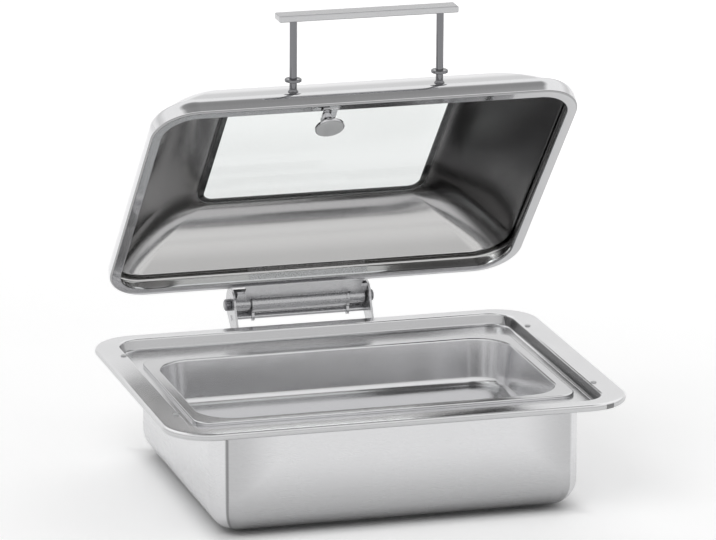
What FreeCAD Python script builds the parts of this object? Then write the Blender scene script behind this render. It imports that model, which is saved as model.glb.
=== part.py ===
import FreeCAD, Part
import math
import os

from FreeCAD import Vector

# Chafing dish: a deep steel body with a wide polished rim, a lift-out food pan and a hinged lid
# with a glass window. Millimetres, +Z up, the dish faces -Y. The origin is on the table, under
# the middle of the rim. The lid is drawn closed and then turned open about its rear hinge.

# Food pan, a full-size catering pan that everything else is laid out round
PAN_LENGTH = 530.0
PAN_WIDTH = 325.0
PAN_CORNER = 24.0
PAN_DEPTH = 65.0
PAN_SHEET = 0.9
PAN_RIM_HEIGHT = 5.0
PAN_RIM_LAND = 14.0
PAN_RIM_RADIUS = 2.2
PAN_BOWL_CORNER = 52.0
PAN_TAPER = 9.0
PAN_FLOOR_RADIUS = 14.0
PAN_CLEARANCE = 1.6
PAN_SEAT_LIP = 6.0

# Rim frame
RIM_TOP = 158.0
RIM_CORNER = 64.0
RIM_SHEET = 1.2
RIM_EDGE_HEIGHT = 10.0
RIM_EDGE_RADIUS = 4.6
RIM_EDGE_RETURN = 6.0
RIM_SIDE_LAND = 35.0
RIM_FRONT_LAND = 24.0
DECK_SIDE_BORDER = 15.0
DECK_FRONT_BORDER = 63.5
WELL_DEPTH = 16.0
WELL_CORNER = 36.0
WELL_SLOPE = 5.0
WELL_FOOT_RADIUS = 3.0

# Body shell and its sandwich base
BODY_SIDE_INSET = 25.0
BODY_FRONT_INSET = 3.0
BODY_CORNER = 40.0
BODY_SHEET = 1.2
BODY_FOOT_RADIUS = 36.0
BASE_THICKNESS = 5.0
BASE_MARGIN = 44.0
BASE_CORNER = 40.0
BASE_CAP_SHEET = 0.8
BASE_EDGE_RADIUS = 1.5

# Lid shell
LID_SIDE_INSET = 23.5
LID_FRONT_INSET = 18.0
LID_BACK_INSET = 24.0
LID_CORNER = 60.0
LID_GAP = 1.5
LID_SHEET = 1.0
LID_RIM_HEIGHT = 27.0
LID_RIM_LAND = 10.0
LID_RIM_TOP_RADIUS = 6.0
LID_RIM_LOW_RADIUS = 3.0
LID_LIP = 15.0
LID_LIP_HEM = 4.0
LID_WAIST_RADIUS = 5.0
DOME_HEIGHT = 95.0
DOME_RUN = 118.0
DOME_BACK_RUN = 75.0
DOME_LOW_CORNER = 50.0
DOME_TOP_CORNER = 36.0
DOME_STEPS = 5

# Window, its glass pane and the gasket between them
WINDOW_SIDE_MARGIN = 13.0
WINDOW_FRONT_MARGIN = 10.0
WINDOW_BACK_MARGIN = 10.0
WINDOW_CORNER = 16.0
GLASS_THICKNESS = 4.0
GLASS_OVERLAP = 9.0
GLASS_EDGE_RADIUS = 0.6
GASKET_THICKNESS = 1.5
GASKET_WIDTH = 7.0
GASKET_SETBACK = 1.0

# Handle
POST_DIAMETER = 10.0
POST_LENGTH = 98.0
POST_SPACING = 203.0
POST_INSET = 18.0
COLLAR_DIAMETER = 23.0
COLLAR_THICKNESS = 4.0
COLLAR_HEIGHT = 14.0
COLLAR_EDGE_RADIUS = 1.2
ROSETTE_DIAMETER = 14.0
ROSETTE_HEIGHT = 4.0
ROSETTE_SEAT = 0.03
BAR_LENGTH = 248.0
BAR_WIDTH = 26.0
BAR_THICKNESS = 9.0
BAR_EDGE_RADIUS = 2.0
BAR_STUD_DIAMETER = 5.0
BAR_STUD_IN_POST = 10.0
BAR_STUD_IN_BAR = 5.5
HANDLE_SCREW_DIAMETER = 5.0
HANDLE_SCREW_DEPTH = 14.0
HANDLE_HEAD_DIAMETER = 9.0
HANDLE_HEAD_HEIGHT = 3.2
HANDLE_WASHER_DIAMETER = 13.0
HANDLE_WASHER_THICKNESS = 1.0
HANDLE_WASHER_GAP = 0.1

# Rear hinge
HINGE_SETBACK = 49.0
HINGE_RISE = 19.0
LID_OPEN_ANGLE = 45.5
LID_FULL_ANGLE = 90.0
PIN_DIAMETER = 10.0
PIN_IN_CAP = 5.0
CAP_DIAMETER = 17.0
CAP_LENGTH = 8.0
CAP_GAP = 0.5
RUNNING_CLEARANCE = 0.05
CHEEK_SPACING = 194.0
BRACKET_SHEET = 3.0
BRACKET_HEIGHT = 54.0
BRACKET_TOP_GAP = 2.8
BRACKET_FOOT = 14.0
BRACKET_RIM_GAP = 4.0
BRACKET_BEND_RADIUS = 9.0
BOSS_RADIUS = 24.0
BUSH_WALL = 2.0
BUSH_FLANGE_RADIUS = 10.5
BUSH_FLANGE_THICKNESS = 1.5
WASHER_THICKNESS = 0.7
SIDE_PLAY = 0.3
KNUCKLE_RADIUS = 9.5
KNUCKLE_WIDTH = 22.0
HINGE_PLATE_SHEET = 4.0
HINGE_PLATE_INSET = 12.0
HINGE_PLATE_EDGE = 1.0
BACKING_PLATE_SHEET = 3.0
TAIL_LENGTH = 21.0
STOP_ROD_DIAMETER = 6.0
STOP_ROD_HEAD = 1.5
STOP_GAP = 0.3
DAMPER_RADIUS = 14.0
DAMPER_CAP_RADIUS = 14.8
DAMPER_CAP_THICKNESS = 4.0
DAMPER_EAR_RADIUS = 6.0
DAMPER_SIDE_GAP = 1.5
DAMPER_PLATE_GAP = 4.0
COVER_SHEET = 1.0
COVER_GAP = 0.9
COVER_FROM = -72.0
COVER_TO = 55.0
STUD_DIAMETER = 5.0
STUD_LENGTH = 12.0
STUD_HOLE_PLAY = 0.25
STUD_SPREAD = 124.0
STUD_RISE = 30.0
NUT_FLATS = 8.0
NUT_HEIGHT = 4.5
PLATE_HEAD_DIAMETER = 9.2
PLATE_HEAD_HEIGHT = 2.8
PLATE_SOCKET_DIAMETER = 3.2
PLATE_SOCKET_DEPTH = 1.4

# Lid bumper and rim pads
BUMPER_X = -58.0
BUMPER_SETBACK = 33.0
BUMPER_DIAMETER = 34.0
BUMPER_NECK = 16.0
BUMPER_NECK_LENGTH = 2.5
BUMPER_SKIRT = 4.5
BUMPER_CUP_SHEET = 1.5
BUMPER_PAD_THICKNESS = 4.0
BUMPER_PAD_PROUD = 1.0
BUMPER_STRAP_WIDTH = 20.0
BUMPER_STRAP_SHEET = 1.2
BUMPER_STRAP_START = 8.0
RIM_PAD_DIAMETER = 8.0
RIM_PAD_INSET = 6.0
RIM_PAD_Y = 150.0
CLOSED_GAP = 0.3

# Levels and outlines that follow from the sizes above
WELL_WIDTH = PAN_LENGTH + 2 * (DECK_SIDE_BORDER + WELL_SLOPE)
WELL_LENGTH = PAN_WIDTH + 2 * (DECK_FRONT_BORDER + WELL_SLOPE)
RIM_WIDTH = WELL_WIDTH + 2 * RIM_SIDE_LAND
RIM_DEPTH = WELL_LENGTH + 2 * RIM_FRONT_LAND
RIM_EDGE_LOW = RIM_TOP - RIM_EDGE_HEIGHT
DECK_TOP = RIM_TOP - WELL_DEPTH
DECK_BOTTOM = DECK_TOP - RIM_SHEET
BODY_WIDTH = WELL_WIDTH - 2 * (WELL_SLOPE + BODY_SIDE_INSET)
BODY_DEPTH = WELL_LENGTH - 2 * (WELL_SLOPE + BODY_FRONT_INSET)
BODY_BACK = BODY_DEPTH / 2
BOWL_LENGTH = PAN_LENGTH - 2 * PAN_RIM_LAND
BOWL_WIDTH = PAN_WIDTH - 2 * PAN_RIM_LAND
LID_WIDTH = RIM_WIDTH - 2 * LID_SIDE_INSET
LID_DEPTH = RIM_DEPTH - LID_FRONT_INSET - LID_BACK_INSET
LID_FRONT = LID_FRONT_INSET - RIM_DEPTH / 2
LID_BACK = LID_FRONT + LID_DEPTH
LID_MIDDLE = (LID_FRONT + LID_BACK) / 2
LID_BASE = RIM_TOP + LID_GAP
LID_FLANGE_TOP = LID_BASE + LID_RIM_HEIGHT
DOME_RISE = DOME_HEIGHT - LID_RIM_HEIGHT
GLASS_TOP = LID_BASE + DOME_HEIGHT - LID_SHEET - GASKET_THICKNESS
HINGE_Y = RIM_DEPTH / 2 + HINGE_SETBACK
HINGE_Z = RIM_TOP + HINGE_RISE
BRACKET_TOP = DECK_BOTTOM - BRACKET_TOP_GAP
BRACKET_BOTTOM = BRACKET_TOP - BRACKET_HEIGHT
CHEEK_INNER = CHEEK_SPACING / 2
KNUCKLE_OUTER = CHEEK_INNER - BUSH_FLANGE_THICKNESS - SIDE_PLAY - WASHER_THICKNESS
KNUCKLE_INNER = KNUCKLE_OUTER - KNUCKLE_WIDTH
HINGE_ARM_LOW = HINGE_Z - HINGE_PLATE_SHEET / 2
HINGE_LEAF_LOW = LID_BASE + LID_RIM_LOW_RADIUS + HINGE_PLATE_EDGE
HINGE_LEAF_HEIGHT = HINGE_ARM_LOW + HINGE_PLATE_SHEET - HINGE_LEAF_LOW
HINGE_LEAF_HALF = CHEEK_INNER - HINGE_PLATE_INSET
DAMPER_END = KNUCKLE_INNER - DAMPER_SIDE_GAP
COVER_INNER_RADIUS = TAIL_LENGTH + COVER_GAP

SAME = 0.01
X_AXIS = Vector(1, 0, 0)
Y_AXIS = Vector(0, 1, 0)
Z_AXIS = Vector(0, 0, 1)
HINGE_POINT = Vector(0, HINGE_Y, HINGE_Z)
SIDES = (-1, 1)


def rounded_rect(width, depth, radius, z, y_middle=0.0):
    """Closed wire of a rounded rectangle, four quarter arcs joined by straight sides."""
    arcs = []
    for side_x, side_y, start in ((1, 1, 0), (-1, 1, 90), (-1, -1, 180), (1, -1, 270)):
        centre = Vector(side_x * (width / 2 - radius), y_middle + side_y * (depth / 2 - radius), z)
        points = []
        for turn in (start, start + 45, start + 90):
            angle = math.radians(turn)
            points.append(centre + Vector(math.cos(angle), math.sin(angle), 0) * radius)
        arcs.append(points)
    edges = []
    for index, points in enumerate(arcs):
        edges.append(Part.Arc(*points).toShape())
        edges.append(Part.makeLine(points[-1], arcs[(index + 1) % 4][0]))
    return Part.Wire(edges)


def block(width, depth, radius, z_low, z_high, y_middle=0.0):
    """Upright rounded block."""
    face = Part.Face(rounded_rect(width, depth, radius, z_low, y_middle))
    return face.extrude(Vector(0, 0, z_high - z_low))


def frustum(low, high):
    """Tapered rounded block between two outlines, each width, depth, radius, z and middle y."""
    return Part.makeLoft([rounded_rect(*low), rounded_rect(*high)], True, True)


def level_edges(shape, *levels):
    """Edges that lie wholly at one of the given heights."""
    found = []
    for edge in shape.Edges:
        box = edge.BoundBox
        if any(abs(box.ZMin - z) < SAME and abs(box.ZMax - z) < SAME for z in levels):
            found.append(edge)
    return found


def cross_edges(shape, *places):
    """Edges along X that pass through one of the given (y, z) places."""
    found = []
    for edge in shape.Edges:
        box = edge.BoundBox
        for y, z in places:
            if max(abs(box.YMin - y), abs(box.YMax - y), abs(box.ZMin - z), abs(box.ZMax - z)) < SAME:
                found.append(edge)
    return found


def rod(diameter, length, start, direction):
    return Part.makeCylinder(diameter / 2, length, start, direction)


def ring(outer, inner, length, start, direction):
    return rod(outer, length, start, direction).cut(rod(inner, length, start, direction))


def hinge_rod(diameter, x_low, x_high):
    """Round bar on the hinge axis between two x positions."""
    return rod(diameter, x_high - x_low, Vector(x_low, HINGE_Y, HINGE_Z), X_AXIS)


def save(name, *shapes):
    shape = shapes[0] if len(shapes) == 1 else Part.makeCompound(shapes)
    shape.exportStep(os.path.join("parts", name + ".step"))


def save_lid(name, *shapes):
    """Lid pieces are drawn closed and stored open, as the dish stands when it is served from."""
    save(name, *[shape.rotated(HINGE_POINT, X_AXIS, -LID_OPEN_ANGLE) for shape in shapes])


# Body: one deep-drawn shell that holds the water, on a capped sandwich base.
def body_shell():
    outer = block(BODY_WIDTH, BODY_DEPTH, BODY_CORNER, BASE_THICKNESS, DECK_BOTTOM)
    outer = outer.makeFillet(BODY_FOOT_RADIUS, level_edges(outer, BASE_THICKNESS))
    floor = BASE_THICKNESS + BODY_SHEET
    inner = block(BODY_WIDTH - 2 * BODY_SHEET, BODY_DEPTH - 2 * BODY_SHEET, BODY_CORNER - BODY_SHEET,
                  floor, DECK_BOTTOM)
    inner = inner.makeFillet(BODY_FOOT_RADIUS - BODY_SHEET, level_edges(inner, floor))
    return outer.cut(inner)


def base_block(inset, z_low):
    width = BODY_WIDTH - 2 * (BASE_MARGIN + inset)
    depth = BODY_DEPTH - 2 * (BASE_MARGIN + inset)
    return block(width, depth, BASE_CORNER - inset, z_low, BASE_THICKNESS)


def base_core():
    core = base_block(BASE_CAP_SHEET, BASE_CAP_SHEET)
    return core.makeFillet(BASE_EDGE_RADIUS - BASE_CAP_SHEET, level_edges(core, BASE_CAP_SHEET))


def base_cap():
    cap = base_block(0, 0)
    return cap.makeFillet(BASE_EDGE_RADIUS, level_edges(cap, 0)).cut(base_core())


# Rim frame: one pressed sheet with a rolled outer edge, a flat land, a recess and the pan's seat.
def rolled_rim():
    outside = block(RIM_WIDTH, RIM_DEPTH, RIM_CORNER, RIM_EDGE_LOW, RIM_TOP)
    outside = outside.makeFillet(RIM_EDGE_RADIUS, level_edges(outside, RIM_EDGE_LOW, RIM_TOP))
    low, high = RIM_EDGE_LOW + RIM_SHEET, RIM_TOP - RIM_SHEET
    hollow = block(RIM_WIDTH - 2 * RIM_SHEET, RIM_DEPTH - 2 * RIM_SHEET, RIM_CORNER - RIM_SHEET, low, high)
    hollow = hollow.makeFillet(RIM_EDGE_RADIUS - RIM_SHEET, level_edges(hollow, low, high))
    mouth = block(RIM_WIDTH - 2 * RIM_EDGE_RETURN, RIM_DEPTH - 2 * RIM_EDGE_RETURN,
                  RIM_CORNER - RIM_EDGE_RETURN, RIM_EDGE_LOW, low)
    return outside.cut([hollow, mouth])


def well(grow, z_top, z_bottom):
    """The recess inside the land; grow widens it all round to give the underside of the sheet."""
    shrink = 2 * (grow - WELL_SLOPE)
    cavity = frustum((WELL_WIDTH + shrink, WELL_LENGTH + shrink, WELL_CORNER - WELL_SLOPE + grow, z_bottom),
                     (WELL_WIDTH + 2 * grow, WELL_LENGTH + 2 * grow, WELL_CORNER + grow, z_top))
    return cavity.makeFillet(WELL_FOOT_RADIUS, level_edges(cavity, z_bottom))


def rim_frame():
    lip_low = DECK_TOP - PAN_SEAT_LIP
    opening = (BOWL_LENGTH + 2 * PAN_CLEARANCE, BOWL_WIDTH + 2 * PAN_CLEARANCE)
    lip = block(opening[0] + 2 * RIM_SHEET, opening[1] + 2 * RIM_SHEET, PAN_BOWL_CORNER + RIM_SHEET,
                lip_low, DECK_TOP)
    sheet = rolled_rim().fuse([well(RIM_SHEET, RIM_TOP - RIM_SHEET / 2, DECK_BOTTOM), lip])
    hole = block(opening[0], opening[1], PAN_BOWL_CORNER, lip_low, DECK_TOP)
    return sheet.cut([well(0, RIM_TOP, DECK_TOP), hole])


def rim_pad(side_x, side_y):
    centre = Vector(side_x * (RIM_WIDTH / 2 - LID_SIDE_INSET - RIM_PAD_INSET), side_y * RIM_PAD_Y, RIM_TOP)
    return rod(RIM_PAD_DIAMETER, LID_GAP - CLOSED_GAP, centre, Z_AXIS)


# Food pan: drawn bowl with a rolled flange that stands on the deck.
def pan_bowl(inset, floor, top):
    low = (BOWL_LENGTH - 2 * (PAN_TAPER + inset), BOWL_WIDTH - 2 * (PAN_TAPER + inset),
           PAN_BOWL_CORNER - PAN_TAPER - inset, floor + inset)
    high = (BOWL_LENGTH - 2 * inset, BOWL_WIDTH - 2 * inset, PAN_BOWL_CORNER - inset, top)
    bowl = frustum(low, high)
    return bowl.makeFillet(PAN_FLOOR_RADIUS - inset, level_edges(bowl, floor + inset))


def food_pan():
    top = DECK_TOP + PAN_RIM_HEIGHT
    flange = block(PAN_LENGTH, PAN_WIDTH, PAN_CORNER, DECK_TOP, top)
    flange = flange.makeFillet(PAN_RIM_RADIUS, level_edges(flange, top))
    under = block(PAN_LENGTH - 2 * PAN_SHEET, PAN_WIDTH - 2 * PAN_SHEET, PAN_CORNER - PAN_SHEET,
                  DECK_TOP, top - PAN_SHEET)
    under = under.makeFillet(PAN_RIM_RADIUS - PAN_SHEET, level_edges(under, top - PAN_SHEET))
    floor = top - PAN_DEPTH
    return flange.cut(under).fuse(pan_bowl(0, floor, top)).cut(pan_bowl(PAN_SHEET, floor, top))


# Lid shell: a tall rolled rim and a dome that swells from it in one convex sweep to the window.
def dome_outline(share, thickness):
    """Dome outline part of the way in to its flat top; the inside of the sheet lies in and down."""
    insets = []
    for run in (DOME_RUN, DOME_BACK_RUN):
        insets.append(LID_RIM_LAND + share * run + thickness)
    front, back = LID_FRONT + insets[0], LID_BACK - insets[1]
    height = LID_RIM_HEIGHT + DOME_RISE * (1 - (1 - share) ** 2) - thickness
    radius = DOME_LOW_CORNER + share * (DOME_TOP_CORNER - DOME_LOW_CORNER) - thickness
    return LID_WIDTH - 2 * insets[0], back - front, radius, LID_BASE + height, (front + back) / 2


def dome(thickness):
    sections = [rounded_rect(*dome_outline(step / DOME_STEPS, thickness)) for step in range(DOME_STEPS + 1)]
    root = list(dome_outline(0, thickness))
    root[3] -= 2 * LID_SHEET
    foot = frustum(root, dome_outline(0, thickness))
    return foot.fuse(Part.makeLoft(sections, True, False))


def lid_block(inset, low, high):
    return block(LID_WIDTH - 2 * inset, LID_DEPTH - 2 * inset, LID_CORNER - inset,
                 LID_BASE + low, LID_BASE + high, LID_MIDDLE)


def lid_envelope(thickness):
    """Rim and dome as one solid: the outside of the sheet, or its inside when thickness is set."""
    top = LID_RIM_HEIGHT - thickness
    rim = lid_block(thickness, thickness, top)
    rim = rim.makeFillet(LID_RIM_TOP_RADIUS - thickness, level_edges(rim, LID_BASE + top))
    rim = rim.makeFillet(LID_RIM_LOW_RADIUS - thickness, level_edges(rim, LID_BASE + thickness))
    whole = rim.fuse(dome(thickness))
    footprint = lid_block((LID_RIM_TOP_RADIUS + LID_RIM_LAND) / 2, 0, LID_RIM_HEIGHT).BoundBox
    waist = [edge for edge in level_edges(whole, LID_BASE + top) if footprint.isInside(edge.BoundBox)]
    return whole.makeFillet(LID_WAIST_RADIUS + thickness, waist)


def window_block(grow, z_low, z_high):
    width, depth, _, _, middle = dome_outline(1, 0)
    front = middle - depth / 2 + WINDOW_FRONT_MARGIN - grow
    back = middle + depth / 2 - WINDOW_BACK_MARGIN + grow
    return block(width - 2 * (WINDOW_SIDE_MARGIN - grow), back - front, WINDOW_CORNER + grow,
                 z_low, z_high, (front + back) / 2)


def lid_shell():
    lip = lid_block(LID_LIP - LID_SHEET, LID_SHEET / 2, LID_LIP_HEM + LID_SHEET)
    shell = lid_envelope(0).cut(lid_envelope(LID_SHEET)).fuse(lip)
    window_top = LID_BASE + DOME_HEIGHT
    holes = [lid_block(LID_LIP, 0, LID_RIM_HEIGHT / 2),
             window_block(0, window_top - 2 * LID_SHEET, window_top)]
    for base in post_places():
        holes.append(rod(HANDLE_SCREW_DIAMETER, 6 * LID_SHEET, base - POST_AXIS * 3 * LID_SHEET, POST_AXIS))
    for place in plate_screw_places():
        holes.append(rod(STUD_DIAMETER, LID_SHEET, place, Y_AXIS * -1))
    return shell.cut(holes)


def glass_pane():
    low = GLASS_TOP - GLASS_THICKNESS
    pane = window_block(GLASS_OVERLAP, low, GLASS_TOP)
    return pane.makeFillet(GLASS_EDGE_RADIUS, level_edges(pane, low, GLASS_TOP))


def window_gasket():
    outer = GLASS_OVERLAP - GASKET_SETBACK
    high = GLASS_TOP + GASKET_THICKNESS
    return window_block(outer, GLASS_TOP, high).cut(window_block(outer - GASKET_WIDTH, GLASS_TOP, high))


# Handle: two posts square to the dome's front wall carry a flat bar.
POST_SHARE = (POST_INSET - LID_RIM_LAND) / DOME_RUN
POST_SLOPE = math.atan(2 * DOME_RISE / DOME_RUN * (1 - POST_SHARE))
POST_AXIS = Vector(0, -math.sin(POST_SLOPE), math.cos(POST_SLOPE))
WALL_AXIS = Vector(0, math.cos(POST_SLOPE), math.sin(POST_SLOPE))


def post_places():
    """Where the posts stand on the outside of the front wall."""
    height = LID_FLANGE_TOP + DOME_RISE * (1 - (1 - POST_SHARE) ** 2)
    return [Vector(side * POST_SPACING / 2, LID_FRONT + POST_INSET, height) for side in SIDES]


def handle_post(base):
    start = base + POST_AXIS * ROSETTE_HEIGHT
    length = POST_LENGTH - ROSETTE_HEIGHT
    top = start + POST_AXIS * length
    post = rod(POST_DIAMETER, length, start, POST_AXIS)
    return post.cut([rod(HANDLE_SCREW_DIAMETER, HANDLE_SCREW_DEPTH, start, POST_AXIS),
                     rod(BAR_STUD_DIAMETER, BAR_STUD_IN_POST, top, POST_AXIS * -1)])


def handle_rosette(base):
    foot = base + POST_AXIS * ROSETTE_SEAT
    bell = Part.makeCone(ROSETTE_DIAMETER / 2, POST_DIAMETER / 2, ROSETTE_HEIGHT - ROSETTE_SEAT, foot, POST_AXIS)
    return bell.cut(rod(HANDLE_SCREW_DIAMETER, ROSETTE_HEIGHT, base, POST_AXIS))


def handle_collar(base):
    foot = base + POST_AXIS * COLLAR_HEIGHT
    collar = ring(COLLAR_DIAMETER, POST_DIAMETER, COLLAR_THICKNESS, foot, POST_AXIS)
    rims = [edge for edge in collar.Edges if edge.Closed and edge.Curve.Radius > POST_DIAMETER]
    return collar.makeFillet(COLLAR_EDGE_RADIUS, rims)


def bar_stud(base):
    start = base + POST_AXIS * (POST_LENGTH - BAR_STUD_IN_POST)
    return rod(BAR_STUD_DIAMETER, BAR_STUD_IN_POST + BAR_STUD_IN_BAR, start, POST_AXIS)


def handle_bar():
    ends = post_places()
    corner = (ends[0] + ends[1]) * 0.5 + POST_AXIS * POST_LENGTH - WALL_AXIS * (BAR_WIDTH / 2)
    corner.x = -BAR_LENGTH / 2
    far = corner + WALL_AXIS * BAR_WIDTH
    rise = POST_AXIS * BAR_THICKNESS
    section = Part.makePolygon([corner, far, far + rise, corner + rise, corner])
    bar = Part.Face(section).extrude(X_AXIS * BAR_LENGTH)
    bar = bar.makeFillet(BAR_EDGE_RADIUS, bar.Edges)
    return bar.cut([bar_stud(base) for base in ends])


def inside_wall(base):
    """Seat under the curved sheet, whose inside lies one thickness in and one down from its outside."""
    return base - POST_AXIS * (LID_SHEET * (POST_AXIS.z - POST_AXIS.y) + HANDLE_WASHER_GAP)


def handle_washer(base):
    return ring(HANDLE_WASHER_DIAMETER, HANDLE_SCREW_DIAMETER, HANDLE_WASHER_THICKNESS,
                inside_wall(base), POST_AXIS * -1)


def handle_screw(base):
    seat = inside_wall(base) - POST_AXIS * HANDLE_WASHER_THICKNESS
    tip = base + POST_AXIS * (ROSETTE_HEIGHT + HANDLE_SCREW_DEPTH)
    head = rod(HANDLE_HEAD_DIAMETER, HANDLE_HEAD_HEIGHT, seat, POST_AXIS * -1)
    outer = max((edge for edge in head.Edges if edge.Closed),
                key=lambda edge: edge.CenterOfMass.distanceToPoint(tip))
    head = head.makeFillet(HANDLE_HEAD_HEIGHT / 2, [outer])
    return head.fuse(rod(HANDLE_SCREW_DIAMETER, tip.distanceToPoint(seat), seat, POST_AXIS))


# Hinge, fixed half: a folded bracket behind the body with bushes, damper, stop rod and cover.
def side_profile(points, x_low, thickness):
    section = Part.makePolygon([Vector(x_low, y, z) for y, z in points + points[:1]])
    return Part.Face(section).extrude(X_AXIS * thickness)


def stop_rod_centre():
    """Middle of the rod that the lid plate's tails come down on when the lid is fully open."""
    angle = math.radians(LID_FULL_ANGLE)
    reach = TAIL_LENGTH - STOP_ROD_DIAMETER / 2
    drop = (HINGE_PLATE_SHEET + STOP_ROD_DIAMETER) / 2 + STOP_GAP
    along = Vector(0, math.cos(angle), -math.sin(angle))
    below = Vector(0, -math.sin(angle), -math.cos(angle))
    return HINGE_POINT + along * reach + below * drop


def cheek(x_low):
    bend = (RIM_DEPTH / 2 + BRACKET_RIM_GAP, BRACKET_TOP)
    heel = (BODY_BACK + BRACKET_FOOT, BRACKET_BOTTOM)
    slant = math.radians(-35)
    outline = [(BODY_BACK, BRACKET_BOTTOM), (BODY_BACK, BRACKET_TOP), bend, (HINGE_Y - BOSS_RADIUS, HINGE_Z),
               (HINGE_Y + BOSS_RADIUS * math.cos(slant), HINGE_Z + BOSS_RADIUS * math.sin(slant)), heel]
    plate = side_profile(outline, x_low, BRACKET_SHEET)
    plate = plate.makeFillet(BRACKET_BEND_RADIUS, cross_edges(plate, bend, heel))
    plate = plate.fuse(hinge_rod(2 * BOSS_RADIUS, x_low, x_low + BRACKET_SHEET))
    return plate.cut(hinge_rod(PIN_DIAMETER + 2 * BUSH_WALL, x_low, x_low + BRACKET_SHEET))


def stud_places():
    middle = (BRACKET_BOTTOM + BRACKET_TOP) / 2
    return [Vector(side * STUD_SPREAD / 2, BODY_BACK, middle + level * STUD_RISE / 2)
            for side in SIDES for level in SIDES]


def stop_rod():
    half = CHEEK_INNER + BRACKET_SHEET
    centre = stop_rod_centre()
    shaft = rod(STOP_ROD_DIAMETER, 2 * half, centre - X_AXIS * half, X_AXIS)
    heads = []
    for side in SIDES:
        start = centre + X_AXIS * side * half
        radius = STOP_ROD_DIAMETER / 2
        heads.append(Part.makeCone(radius + STOP_ROD_HEAD, radius, STOP_ROD_HEAD, start, X_AXIS * side))
    return shaft.fuse(heads)


def hinge_bracket():
    web = Part.makeBox(CHEEK_SPACING, BRACKET_SHEET, BRACKET_HEIGHT,
                       Vector(-CHEEK_INNER, BODY_BACK, BRACKET_BOTTOM))
    bracket = web.fuse([cheek(-CHEEK_INNER - BRACKET_SHEET), cheek(CHEEK_INNER)]).removeSplitter()
    half = CHEEK_INNER + BRACKET_SHEET
    holes = [rod(STOP_ROD_DIAMETER, 2 * half, stop_rod_centre() - X_AXIS * half, X_AXIS)]
    for place in stud_places():
        holes.append(rod(STUD_DIAMETER + 2 * STUD_HOLE_PLAY, BRACKET_SHEET, place, Y_AXIS))
    return bracket.cut(holes)


def bracket_stud(place):
    return rod(STUD_DIAMETER, STUD_LENGTH, place, Y_AXIS)


def bracket_nut(place):
    seat = place + Y_AXIS * BRACKET_SHEET
    corner = NUT_FLATS / math.sqrt(3)
    points = []
    for turn in range(7):
        angle = math.radians(60 * turn)
        points.append(seat + Vector(math.cos(angle), 0, math.sin(angle)) * corner)
    nut = Part.Face(Part.makePolygon(points)).extrude(Y_AXIS * NUT_HEIGHT)
    return nut.cut(rod(STUD_DIAMETER, NUT_HEIGHT, seat, Y_AXIS))


def hinge_bush(side):
    face = Vector(side * CHEEK_INNER, HINGE_Y, HINGE_Z)
    outwards = X_AXIS * side
    sleeve = rod(PIN_DIAMETER + 2 * BUSH_WALL, BRACKET_SHEET, face, outwards)
    flange = rod(2 * BUSH_FLANGE_RADIUS, BUSH_FLANGE_THICKNESS, face, outwards * -1)
    bore = rod(PIN_DIAMETER + 2 * RUNNING_CLEARANCE, BUSH_FLANGE_THICKNESS + BRACKET_SHEET,
               face - outwards * BUSH_FLANGE_THICKNESS, outwards)
    return sleeve.fuse(flange).cut(bore)


def damper_barrel():
    end = DAMPER_END - DAMPER_CAP_THICKNESS
    bore = hinge_rod(PIN_DIAMETER + 2 * RUNNING_CLEARANCE, -end, end)
    return hinge_rod(2 * DAMPER_RADIUS, -end, end).cut(bore)


def damper_cap(side):
    """End cap whose ear is held by the stop rod, so that the barrel can't turn."""
    low = min(side * DAMPER_END, side * (DAMPER_END - DAMPER_CAP_THICKNESS))
    start = Vector(low, HINGE_Y, HINGE_Z)
    anchor = stop_rod_centre()
    anchor.x = low
    across = (anchor - start).cross(X_AXIS).normalize() * DAMPER_EAR_RADIUS
    neck = Part.Face(Part.makePolygon([start + across, anchor + across, anchor - across, start - across,
                                       start + across]))
    cap = rod(2 * DAMPER_CAP_RADIUS, DAMPER_CAP_THICKNESS, start, X_AXIS)
    cap = cap.fuse([neck.extrude(X_AXIS * DAMPER_CAP_THICKNESS),
                    rod(2 * DAMPER_EAR_RADIUS, DAMPER_CAP_THICKNESS, anchor, X_AXIS)]).removeSplitter()
    return cap.cut([rod(PIN_DIAMETER + 2 * RUNNING_CLEARANCE, DAMPER_CAP_THICKNESS, start, X_AXIS),
                    rod(STOP_ROD_DIAMETER, DAMPER_CAP_THICKNESS, anchor, X_AXIS)])


def hinge_cover():
    """Curved guard between the cheeks, behind the turning tails."""
    angle = math.radians(COVER_FROM)
    out = Vector(0, math.cos(angle), math.sin(angle))
    near = HINGE_POINT + out * COVER_INNER_RADIUS - X_AXIS * CHEEK_INNER
    far = near + out * COVER_SHEET
    width = X_AXIS * CHEEK_SPACING
    section = Part.Face(Part.makePolygon([near, far, far + width, near + width, near]))
    return section.revolve(HINGE_POINT, X_AXIS, COVER_TO - COVER_FROM)


# Hinge, turning half: an angle plate on the back of the lid's rim, screwed through to a backing plate,
# with two knuckles on the pin and a tail behind each that meets the stop rod.
def plate_screw_places():
    height = (HINGE_LEAF_LOW + HINGE_ARM_LOW) / 2
    return [Vector(side * HINGE_LEAF_HALF * share, LID_BACK, height)
            for side in SIDES for share in (0.3, 0.84)]


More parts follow.
